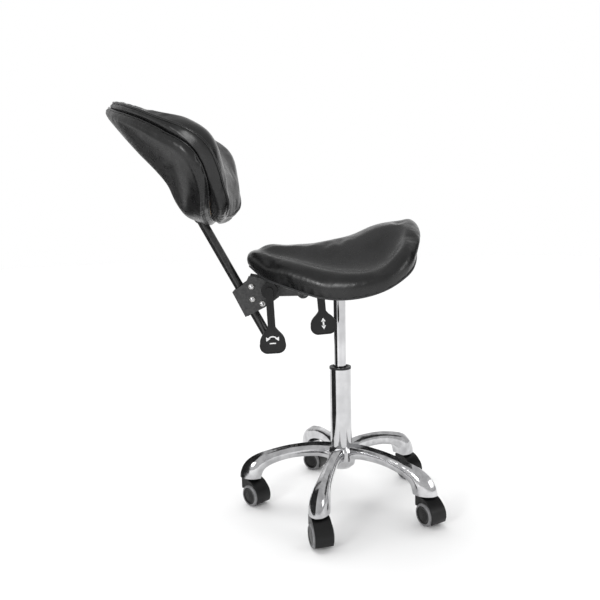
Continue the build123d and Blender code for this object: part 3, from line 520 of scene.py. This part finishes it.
def seat_rings(outline):
    """Rings from the ridge, over the crest and the side roll, and in under the rim."""
    profiles = []
    for point in outline:
        x = point.x
        ridge_x = spine_x(x)
        across = abs(point.y) / math.hypot(x - ridge_x, point.y)
        rim = seat_value(3, x)
        roll = seat_value(4, x)
        crest_part = seat_value(5, x)
        ridge = seat_value(2, ridge_x)
        tuck = end_tuck(x)
        widest = mix(WIDEST_PART, WIDEST_AT_ENDS, tuck)
        profile = []
        for step in range(TOP_STEPS + 1):
            toward = step / TOP_STEPS
            height = rim + roll + (ridge - rim - roll) * seat_rise(toward, across)
            profile.append((crest_part * toward, height))
        for step in range(1, ROLL_STEPS + 1):
            turn = math.pi / 2 * step / ROLL_STEPS
            drop = 1 - (1 - widest) * (1 - math.cos(turn))
            profile.append((crest_part + (1 - crest_part) * math.sin(turn), rim + roll * drop))
        profile.append((mix(0.996, 0.97, tuck), rim + roll * widest * 0.5))
        profile.append((mix(0.98, 0.88, tuck), rim + 0.5))
        profile.append((mix(0.94, 0.82, tuck), rim))
        underside = max(UNDERSIDE_LOW, seat_value(3, ridge_x) + UNDERSIDE_RISE)
        for part in (0.9, 0.55, 0.0):
            profile.append((part, mix(underside, rim + 3.0, part)))
        profiles.append([seat_point(point, out, height) for out, height in profile])
    return [list(ring) for ring in zip(*profiles)]


seat_loop = seat_outline(144)
seat_mesh = mesh_from_rings("seat_leather_cover", seat_rings(seat_loop))
seat = add_object("seat_leather_cover", seat_mesh, SEAT_LEATHER)


def seat_held(point):
    """The cover is stapled under the rim and held there; it is free over the dished top."""
    rim = seat_value(3, point.x / MM) * MM
    return 1 - smoothstep(4 * MM, 30 * MM, point.z - rim)


stuff(seat, 5 * MM, 3.0, 4 * MM, seat_held)


def gather_rim(mesh):
    """Small pleats where the leather is pulled in round the lower edge."""
    normals = [vertex.normal.copy() for vertex in mesh.vertices]
    for vertex, outward in zip(mesh.vertices, normals):
        rim = seat_value(3, vertex.co.x / MM) * MM
        low = 1 - smoothstep(2 * MM, 20 * MM, vertex.co.z - rim)
        if low <= 0:
            continue
        turn = math.atan2(vertex.co.y, vertex.co.x)
        ripple = math.sin(turn * 47) * 0.5 + math.sin(turn * 83 + 1.3) * 0.3
        vertex.co += outward * ripple * low * 0.5 * MM


subdivide(seat)
gather_rim(seat.data)
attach(seat, "seat_lift")
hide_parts("seat_cushion")

# moulded edge strip that holds the leather down round the pan
trim_points = [
    seat_point(point, mix(0.955, 0.84, end_tuck(point.x)), seat_value(3, point.x) + 1.0)
    for point in seat_loop
]
trim_mesh = tube_along("seat_edge_trim", trim_points, 4.0 * MM, flat=0.75)
trim = add_object("seat_edge_trim", trim_mesh, BLACK_SHELL)
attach(trim, "seat_lift")

# ---------------------------------------------------------------- back pad
PAD_ORIGIN = Vector((-0.363, 0, 0.730))
PAD_LEAN = math.radians(40)
PAD_UP = Vector((-math.sin(PAD_LEAN), 0, math.cos(PAD_LEAN)))
PAD_OUT = Vector((math.cos(PAD_LEAN), 0, math.sin(PAD_LEAN)))
PAD_TOP = 236.0                   # distance up the pad to its top edge
THINNING_START = 90.0             # from here to its top the pad gets thinner
TOP_THINNING = 0.27
WRAP_RADIUS = 290.0
SHELL_INSIDE = 28.0               # depths of the hidden faces against the board
FRONT_INSIDE = 26.0
# right half outlines: distance from the middle, distance up the pad; millimetres
SHELL_OUTLINE = (
    (0, 236), (72, 206), (117, 172), (151, 133), (181, 77), (199, 36), (202, 4), (188, -36),
    (153, -69), (62, -98), (0, -104),
)
FRONT_OUTLINE = (
    (0, 236), (78, 213), (137, 168), (184, 96), (201, 44), (202, 0), (187, -40), (163, -77),
    (134, -106), (80, -119), (0, -119),
)
PAD_CENTRE = Vector((0, 30))


def pad_loop(half, count):
    left = [(-y, s) for y, s in reversed(half[1:-1])]
    return closed_curve(list(half) + left, count)


def wrap(y):
    """How far the pad has curved forward at this distance from its middle."""
    return WRAP_RADIUS - math.sqrt(WRAP_RADIUS**2 - min(abs(y), WRAP_RADIUS - 20) ** 2)


def pad_thin(s):
    """How much of its full depth the pad has at this distance up."""
    return 1 - TOP_THINNING * smoothstep(THINNING_START, PAD_TOP, s)


def pad_point(y, s, depth):
    """Place on the pad from its distance across, distance up and depth in front of its back."""
    thin = pad_thin(s)
    forward = PAD_OUT * (wrap(y) + depth * thin) * MM
    return PAD_ORIGIN + PAD_UP * s * MM + forward + Vector((0, y * MM, 0))


def pad_ring(loop, inset, depth_at):
    """Ring of the pad's outline moved in by inset millimetres; depth_at(y, s) gives its depth."""
    ring = []
    for point in loop:
        outward = point - PAD_CENTRE
        place = PAD_CENTRE + outward * (1 - inset / outward.length)
        ring.append(pad_point(place.x, place.y, depth_at(place.x, place.y)))
    return ring


def pad_inner_ring(loop, part, edge_inset, depth_at):
    """Ring that shrinks the inset outline towards the pad's centre."""
    ring = []
    for point in loop:
        outward = point - PAD_CENTRE
        place = PAD_CENTRE + outward * (1 - edge_inset / outward.length) * part
        ring.append(pad_point(place.x, place.y, depth_at(place.x, place.y, part)))
    return ring


BACK_LINE = (
    (-102, 8), (-92, -2), (-75, -10), (-50, -14), (-15, -8), (20, 3), (60, 5), (120, 2), (236, 2),
)


def back_depth(y, s, part):
    """Back panel: hollow in its upper half and full below, flush with its seam at the edge."""
    middle = curve_through(BACK_LINE, s)
    return mix(middle, 5.0, part**6)


def flat_depth(value):
    return lambda y, s: value


# distance up the pad: depth of the front welt, and how far the crown stands out in front of it
FRONT_SEAM_LINE = ((-119, 51), (-40, 53), (20, 48), (70, 40), (110, 37), (160, 40), (236, 46))
CROWN_LINE = (
    (-119, 8), (-80, 20), (-50, 38), (-10, 61), (30, 69), (70, 61), (110, 39), (160, 17), (236, 5),
)


def front_seam(y, s):
    return curve_through(FRONT_SEAM_LINE, s)


def band_depth(part):
    """Depth of the front pad's side band: 0 at the groove behind it, 1 at the welt."""
    return lambda y, s: mix(SHELL_INSIDE, front_seam(y, s), part)


def crown_depth(part):
    """Depth of the front pad's face: 0 at the welt, 1 at the top of the crown."""
    return lambda y, s: front_seam(y, s) + part * curve_through(CROWN_LINE, s)


# rings of the covers: inset from the outline, and depth or the part of the band or crown there
SHELL_EDGE = ((3.0, 4.5), (0.8, 8.0), (-1.0, 14.0), (-0.8, 20.0), (1.0, 24.5), (6.0, 27.5))
FRONT_BAND = ((10.0, -0.08), (4.0, 0.0), (1.0, 0.18), (0.0, 0.42), (-0.3, 0.72), (0.0, 1.0))
CROWN_EDGE = ((1.5, 0.06), (4.5, 0.16), (9.5, 0.3), (17.5, 0.47), (28.0, 0.62), (42.0, 0.77))
CROWN_INSET = 42
CROWN_RINGS = 9
CROWN_FALL = 0.23                 # how far the crown drops from its middle to its edge rings
BACK_RINGS = 12

shell_loop = pad_loop(SHELL_OUTLINE, 150)
shell_rings = [
    pad_inner_ring(shell_loop, step / BACK_RINGS, 6, back_depth) for step in range(BACK_RINGS + 1)
]
for inset, depth in SHELL_EDGE:
    shell_rings.append(pad_ring(shell_loop, inset, flat_depth(depth)))
for part in (0.7, 0.4, 0.0):
    shell_rings.append(pad_inner_ring(shell_loop, part, 8, lambda y, s, p: SHELL_INSIDE))
shell_mesh = mesh_from_rings("back_shell_leather", shell_rings)
shell = add_object("back_shell_leather", shell_mesh, PAD_LEATHER)

front_loop = pad_loop(FRONT_OUTLINE, 160)
front_rings = []
for part in (0.0, 0.35, 0.7):
    front_rings.append(pad_inner_ring(front_loop, part, 10, lambda y, s, p: FRONT_INSIDE))
for inset, part in FRONT_BAND:
    front_rings.append(pad_ring(front_loop, inset, band_depth(part)))
for inset, part in CROWN_EDGE:
    front_rings.append(pad_ring(front_loop, inset, crown_depth(part)))
for step in range(CROWN_RINGS - 1, -1, -1):
    front_rings.append(pad_inner_ring(
        front_loop,
        step / CROWN_RINGS,
        CROWN_INSET,
        lambda y, s, p: crown_depth(1 - CROWN_FALL * p**2)(y, s),
    ))
front_mesh = mesh_from_rings("front_pad_leather", front_rings)
front = add_object("front_pad_leather", front_mesh, PAD_LEATHER)


def pad_place(point):
    """Distance across, distance up and depth of a point near the pad, millimetres."""
    offset = point - PAD_ORIGIN
    y = offset.y / MM
    s = offset.dot(PAD_UP) / MM
    return y, s, (offset.dot(PAD_OUT) / MM - wrap(y)) / pad_thin(s)


def shell_held(point):
    """Held to the board inside, free on the outer face and the band round it."""
    depth = pad_place(point)[2]
    return smoothstep(19, 23, depth)


def front_held(point):
    depth = pad_place(point)[2]
    return 1 - smoothstep(27, 34, depth)


stuff(shell, 5 * MM, 3.0, 4 * MM, shell_held)
stuff(front, 5 * MM, 4.0, 7 * MM, front_held)


def sink_seam(mesh, loop, inset, depth, width, sink):
    """Press a seam into the cover along the outline, at this inset and depth."""
    seam = pad_ring(loop, inset, flat_depth(depth))
    count = len(seam)
    tree = KDTree(count)
    for index, point in enumerate(seam):
        tree.insert(point, index)
    tree.balance()
    normals = [vertex.normal.copy() for vertex in mesh.vertices]
    for vertex, outward in zip(mesh.vertices, normals):
        _, nearest, gap = tree.find(vertex.co)
        if gap > 10 * MM:
            continue
        for other in (nearest - 1, (nearest + 1) % count):
            foot, part = intersect_point_line(vertex.co, seam[nearest], seam[other])
            if 0 <= part <= 1:
                gap = min(gap, (vertex.co - foot).length)
        vertex.co -= outward * sink * math.exp(-((gap / width) ** 2))


subdivide(shell)
subdivide(front)
sink_seam(shell.data, shell_loop, 2.0, 5.5, 2.2 * MM, 1.6 * MM)

for piece, solid, fill in ((shell, "back_cover", 0.9), (front, "front_cushion", 0.85)):
    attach(piece, "back_rest")
    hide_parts(solid)


def sewn_to(mesh, points, lift):
    """Loop of points brought onto the cover, this far off its surface, and evened out."""
    cover = BVHTree.FromPolygons(
        [vertex.co for vertex in mesh.vertices], [face.vertices for face in mesh.polygons]
    )
    count = len(points)
    for _ in range(3):
        moved = []
        for point in points:
            place, outward, _, _ = cover.find_nearest(point)
            moved.append(place + outward * lift)
        points = [(moved[i - 1] + moved[i] * 2 + moved[(i + 1) % count]) / 4 for i in range(count)]
    return points


# welt sewn round the front panel, and the thin welt at the back panel's seam
for name, cover, loop, inset, depth, lift, radius in (
    ("front_pad_welt", front, front_loop, -1.2, front_seam, 1.0 * MM, 2.5 * MM),
    ("back_shell_welt", shell, shell_loop, -0.2, flat_depth(22.5), 0.6 * MM, 1.7 * MM),
):
    welt_points = sewn_to(cover.data, pad_ring(loop, inset, depth), lift)
    welt = add_object(name, tube_along(name, welt_points, radius), PIPING_LEATHER)
    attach(welt, "back_rest")

# ---------------------------------------------------------------- domed caps on the bracket's bolts
DOME_PROFILE = ((6.9, 0.0), (6.9, 1.2), (6.5, 2.8), (5.3, 4.4), (3.4, 5.6), (1.2, 6.2), (0.0, 6.3))
DOME_SPOTS = ((-199.0, 520.0), (-197.0, 491.5), (-175.0, 481.0))
DOME_AROUND = 28
DOME_COVERS = 5.0 * MM            # how much of the bolt's head a cap takes in


def dome_rings(x, z, start, toward):
    """Rings of a cap at this place, from the bracket's side out along -Y or +Y."""
    rings = []
    for radius, out in DOME_PROFILE:
        ring = []
        for k in range(DOME_AROUND):
            turn = math.tau * k / DOME_AROUND
            ring.append(Vector((
                (x + radius * math.cos(turn)) * MM,
                start + toward * out * MM,
                (z + radius * math.sin(turn)) * MM,
            )))
        rings.append(ring)
    return rings


bolt_low, bolt_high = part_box("bracket_bolts")
for index, (x, z) in enumerate(DOME_SPOTS):
    for side, face, toward in (("near", bolt_low.y, -1), ("far", bolt_high.y, 1)):
        name = f"bolt_dome_{side}_{index + 1}"
        cap = mesh_from_rings(name, dome_rings(x, z, face - toward * DOME_COVERS, toward))
        dome = add_object(name, cap, FINISHES["bright_steel"])
        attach(dome, "back_bracket")

# ---------------------------------------------------------------- printed marks on the levers
PRINT_LIFT = 0.05 * MM
PRINT_THICKNESS = 0.25 * MM
PADDLE_RECESS = 1.2 * MM


def flat_mark(name, shapes, origin, lean, lift):
    """Thin raised print from flat outlines, on a lever face that looks along -Y."""
    mesh = bpy.data.meshes.new(name)
    form = bmesh.new()
    along = Vector((math.cos(lean), 0, math.sin(lean)))
    up = Vector((-math.sin(lean), 0, math.cos(lean)))
    out = Vector((0, -1, 0))
    for shape in shapes:
        face_points = [origin + along * a * MM + up * b * MM + out * lift for a, b in shape]
        face = form.faces.new([form.verts.new(point) for point in face_points])
        raised = bmesh.ops.extrude_face_region(form, geom=[face])
        for item in raised["geom"]:
            if isinstance(item, bmesh.types.BMVert):
                item.co += out * PRINT_THICKNESS
    bmesh.ops.recalc_face_normals(form, faces=form.faces)
    form.to_mesh(mesh)
    form.free()
    return add_object(name, mesh, print_finish)


def arrow_head(x, y, size, turn):
    """Triangle with its tip at x, y, pointing at this angle."""
    points = []
    for reach, side in ((0, 0), (-size, size * 0.62), (-size, -size * 0.62)):
        points.append((
            x + reach * math.cos(turn) - side * math.sin(turn),
            y + reach * math.sin(turn) + side * math.cos(turn),
        ))
    return points


def bar(x0, y0, x1, y1):
    return [(x0, y0), (x1, y0), (x1, y1), (x0, y1)]


def arc_band(radius, thick, start, end, steps=14):
    """Part of a ring, for a turning arrow's shaft."""
    outer = []
    inner = []
    for step in range(steps + 1):
        turn = math.radians(mix(start, end, step / steps))
        outer.append(((radius + thick / 2) * math.cos(turn), (radius + thick / 2) * math.sin(turn)))
        inner.append(((radius - thick / 2) * math.cos(turn), (radius - thick / 2) * math.sin(turn)))
    return outer + inner[::-1]


print_finish = print_white()


def paddle_middle(node_name, up):
    """Point on a lever's recessed outer face, this far above the paddle's lowest point."""
    low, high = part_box(node_name)
    return Vector(((low.x + high.x) / 2, low.y + PADDLE_RECESS, low.z + up * MM))


# height lever: up and down arrow
HEIGHT_MARK = [
    bar(-1.6, -6.0, 1.6, 6.0),
    arrow_head(0, 12.5, 8.0, math.pi / 2),
    arrow_head(0, -12.5, 8.0, -math.pi / 2),
]
# tilt lever: arrow that turns both ways over a short base line
TILT_MARK = [
    arc_band(11.0, 2.8, 40, 140),
    arrow_head(14.0, 1.0, 8.0, math.radians(-62)),
    arrow_head(-14.0, 1.0, 8.0, math.radians(-118)),
    bar(-7.0, -5.5, 7.0, -2.9),
]
for name, lever, body, shapes, up, lean in (
    ("height_lever_mark", "height_lever_paddle", "height_lever", HEIGHT_MARK, 25, 4.4),
    ("tilt_lever_mark", "tilt_lever", "tilt_handle", TILT_MARK, 28, 2.4),
):
    mark = flat_mark(name, shapes, paddle_middle(lever, up), math.radians(lean), PRINT_LIFT)
    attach(mark, body)

# ---------------------------------------------------------------- studio
STAGE_RADIUS = 9.0


def pale_floor():
    """Matt white studio floor."""
    material = new_material("studio_floor", (0.93, 0.93, 0.93), 0.6, specular=0.2)
    bump(material, ((noise(material, 0.3, detail=2.0), 0.05, 0.5 * MM),))
    return material


floor_mesh = bpy.data.meshes.new("studio_floor")
floor_form = bmesh.new()
bmesh.ops.create_circle(floor_form, cap_ends=True, segments=64, radius=STAGE_RADIUS)
floor_form.to_mesh(floor_mesh)
floor_form.free()
add_object("studio_floor", floor_mesh, pale_floor())


def softbox(name, place, target, width, height, power):
    """Rectangular light at a place, facing a target."""
    light = bpy.data.lights.new(name, "AREA")
    light.shape = "RECTANGLE"
    light.size = width
    light.size_y = height
    light.energy = power
    lamp = bpy.data.objects.new(name, light)
    lamp.location = place
    lamp.rotation_euler = (Vector(target) - Vector(place)).to_track_quat("-Z", "Y").to_euler()
    lamp.visible_camera = False
    bpy.context.scene.collection.objects.link(lamp)
    return lamp


softbox("left_front_light", (-1.5, -1.9, 1.15), (-0.05, 0, 0.55), 0.6, 0.6, 17)
softbox("right_back_light", (2.2, 1.4, 1.5), (0, 0, 0.4), 1.2, 1.6, 10).visible_glossy = False
softbox("rim_light", (0.1, 2.6, 1.5), (0, 0, 0.7), 3.2, 1.6, 7).visible_diffuse = False
softbox("right_front_light", (1.7, -1.2, 1.0), (-0.25, 0, 0.6), 0.7, 0.9, 7)

overhead = bpy.data.lights.new("overhead", "SUN")
overhead.energy = 1.6
overhead.angle = math.radians(50)
sky_lamp = bpy.data.objects.new("overhead", overhead)
sky_lamp.rotation_euler = (math.radians(-18), math.radians(-16), 0)
sky_lamp.visible_glossy = False
bpy.context.scene.collection.objects.link(sky_lamp)


CARD_BLACK = new_material("card_black", (0.02, 0.02, 0.02), 0.9)


def dark_card(name, place, width, height, turn):
    """Black card that only reflections see: dark streaks in polished metal, dark leather flanks."""
    mesh = bpy.data.meshes.new(name)
    mesh.from_pydata(
        [(-width / 2, 0, 0), (width / 2, 0, 0), (width / 2, 0, height), (-width / 2, 0, height)],
        [],
        [(0, 1, 2, 3)],
    )
    card = add_object(name, mesh, CARD_BLACK)
    card.location = place
    card.rotation_euler = (0, 0, turn)
    card.visible_camera = False
    card.visible_diffuse = False
    card.visible_shadow = False


dark_card("left_card", (-0.48, -0.13, 0.0), 0.6, 0.6, math.radians(75))
dark_card("rear_card", (-1.15, 0.75, 0.12), 1.0, 0.63, math.radians(30))
dark_card("right_card", (0.9, 0.15, 0.42), 0.7, 0.7, math.radians(-80))


def studio_world(seen, felt):
    """White behind the object, and a dimmer room that lights and reflects in it."""
    world = bpy.data.worlds.new("studio")
    bpy.context.scene.world = world
    world.use_nodes = True
    nodes = world.node_tree.nodes
    links = world.node_tree.links
    backdrop = nodes["Background"]
    backdrop.inputs["Color"].default_value = (1, 1, 1, 1)
    backdrop.inputs["Strength"].default_value = seen
    room = nodes.new("ShaderNodeBackground")
    room.inputs["Color"].default_value = (1, 1, 1, 1)
    room.inputs["Strength"].default_value = felt
    path = nodes.new("ShaderNodeLightPath")
    either = nodes.new("ShaderNodeMixShader")
    links.new(path.outputs["Is Camera Ray"], either.inputs["Fac"])
    links.new(room.outputs["Background"], either.inputs[1])
    links.new(backdrop.outputs["Background"], either.inputs[2])
    links.new(either.outputs["Shader"], nodes["World Output"].inputs["Surface"])


studio_world(1.0, 0.66)

# ---------------------------------------------------------------- camera
CAMERA_PLACE = (-0.0904, -1.4573, 0.6766)
CAMERA_TILT = math.radians(-7.59)
CAMERA_ROLL = math.radians(-1.26)
lens = bpy.data.cameras.new("camera")
lens.sensor_width = 36.0
lens.lens = 38.33
camera = bpy.data.objects.new("camera", lens)
camera.matrix_world = (
    Matrix.Translation(CAMERA_PLACE)
    @ Matrix.Rotation(math.pi / 2 + CAMERA_TILT, 4, "X")
    @ Matrix.Rotation(CAMERA_ROLL, 4, "Z")
)
bpy.context.scene.collection.objects.link(camera)
bpy.context.scene.camera = camera
bpy.context.scene.view_settings.view_transform = "Standard"
